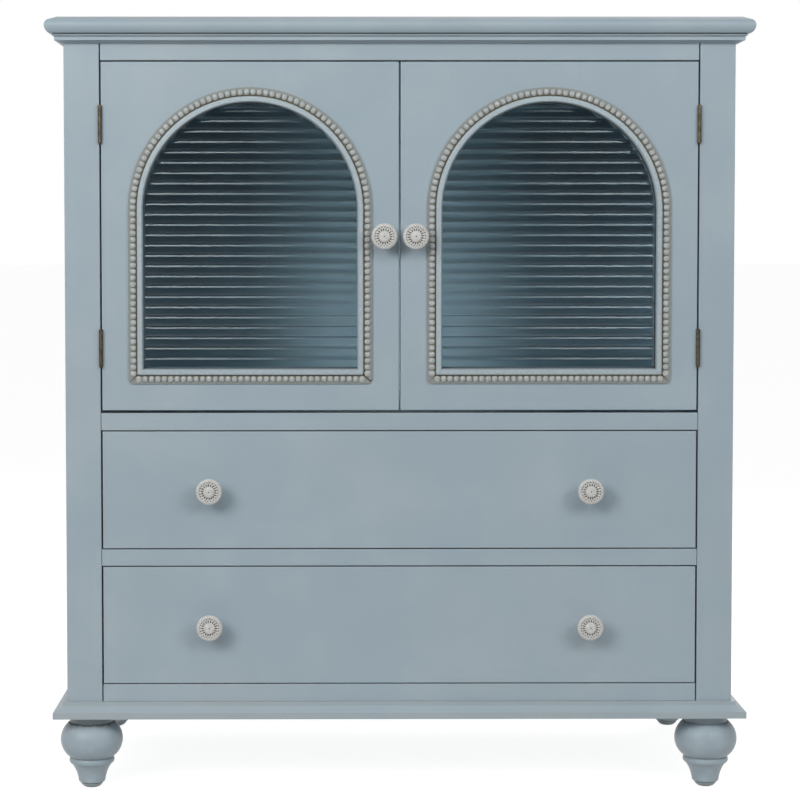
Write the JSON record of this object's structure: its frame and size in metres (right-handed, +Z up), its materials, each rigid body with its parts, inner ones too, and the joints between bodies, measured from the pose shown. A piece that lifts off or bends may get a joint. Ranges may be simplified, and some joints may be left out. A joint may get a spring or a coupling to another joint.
{
  "type": "buffet cabinet",
  "caption": "Free-standing painted buffet: arched reeded-glass doors with beaded mouldings over full-width drawers, moulded top and base, turned feet.",
  "frame": {"origin": "on the floor under the middle of the whole cabinet, knobs included", "axes": "+Z up, +X to the right seen from the front, the doors and drawers face -Y"},
  "size_m": [0.8986, 0.471, 0.992],
  "materials": {
    "blue_grey_paint": "satin paint on wood",
    "bare_pine": "bare planed softwood",
    "plywood": "bare plywood",
    "glazed_beading": "pale paint with a brown glaze in the grooves",
    "reeded_glass": "pressed reeds, glossy",
    "antique_brass": "darkened antique brass",
    "cream_knob": "cream paint rubbed with a dark wash",
    "zinc_steel": "zinc plated",
    "catch_plastic": "moulded"
  },
  "bodies": {
    "carcass": {"back_panel": "blue_grey_paint", "base_board": "blue_grey_paint", "bottom_front_rail": "blue_grey_paint", "cupboard_floor": "blue_grey_paint", "door_catches": "catch_plastic", "door_sill_rail": "blue_grey_paint", "drawer_divider_rail": "blue_grey_paint", "drawer_runners": "bare_pine", "drawer_stops": "bare_pine", "foot_bolts": "zinc_steel", "frame_hinge_leaves": "antique_brass", "frame_hinge_screws": "zinc_steel", "front_cornice_moulding": "blue_grey_paint", "front_left_foot": "blue_grey_paint", "front_right_foot": "blue_grey_paint", "hinge_pins": "antique_brass", "left_cornice_moulding": "blue_grey_paint", "left_front_post": "blue_grey_paint", "left_rear_post": "blue_grey_paint", "left_side_panel": "blue_grey_paint", "rear_left_foot": "blue_grey_paint", "rear_right_foot": "blue_grey_paint", "right_cornice_moulding": "blue_grey_paint", "right_front_post": "blue_grey_paint", "right_rear_post": "blue_grey_paint", "right_side_panel": "blue_grey_paint", "top_board": "blue_grey_paint", "top_front_rail": "blue_grey_paint", "top_rear_rail": "blue_grey_paint"},
    "left_door": {"left_door_beading": "glazed_beading", "left_door_glass": "reeded_glass", "left_door_glazing_strips": "blue_grey_paint", "left_door_hinge_leaves": "antique_brass", "left_door_knob": "cream_knob", "left_door_panel": "blue_grey_paint", "left_door_screws": "zinc_steel", "left_door_strike_plate": "zinc_steel"},
    "right_door": {"right_door_beading": "glazed_beading", "right_door_glass": "reeded_glass", "right_door_glazing_strips": "blue_grey_paint", "right_door_hinge_leaves": "antique_brass", "right_door_knob": "cream_knob", "right_door_panel": "blue_grey_paint", "right_door_screws": "zinc_steel", "right_door_strike_plate": "zinc_steel"},
    "upper_drawer": {"upper_drawer_back": "bare_pine", "upper_drawer_bottom": "plywood", "upper_drawer_front": "blue_grey_paint", "upper_drawer_knob_screws": "zinc_steel", "upper_drawer_knobs": "cream_knob", "upper_drawer_sides": "bare_pine"},
    "lower_drawer": {"lower_drawer_back": "bare_pine", "lower_drawer_bottom": "plywood", "lower_drawer_front": "blue_grey_paint", "lower_drawer_knob_screws": "zinc_steel", "lower_drawer_knobs": "cream_knob", "lower_drawer_sides": "bare_pine"}
  },
  "joints": [
    {"name": "left_door_hinge", "type": "hinge", "parent": "carcass", "child": "left_door", "pos_m": [-0.38125, -0.2091, 0.7139], "axis": [0, 0, -1], "range_deg": [0, 160]},
    {"name": "right_door_hinge", "type": "hinge", "parent": "carcass", "child": "right_door", "pos_m": [0.38125, -0.2091, 0.7139], "axis": [0, 0, 1], "range_deg": [0, 160]},
    {"name": "upper_drawer_slide", "type": "slide", "parent": "carcass", "child": "upper_drawer", "axis": [0, -1, 0], "range_m": [0, 0.3]},
    {"name": "lower_drawer_slide", "type": "slide", "parent": "carcass", "child": "lower_drawer", "axis": [0, -1, 0], "range_m": [0, 0.3]}
  ]
}
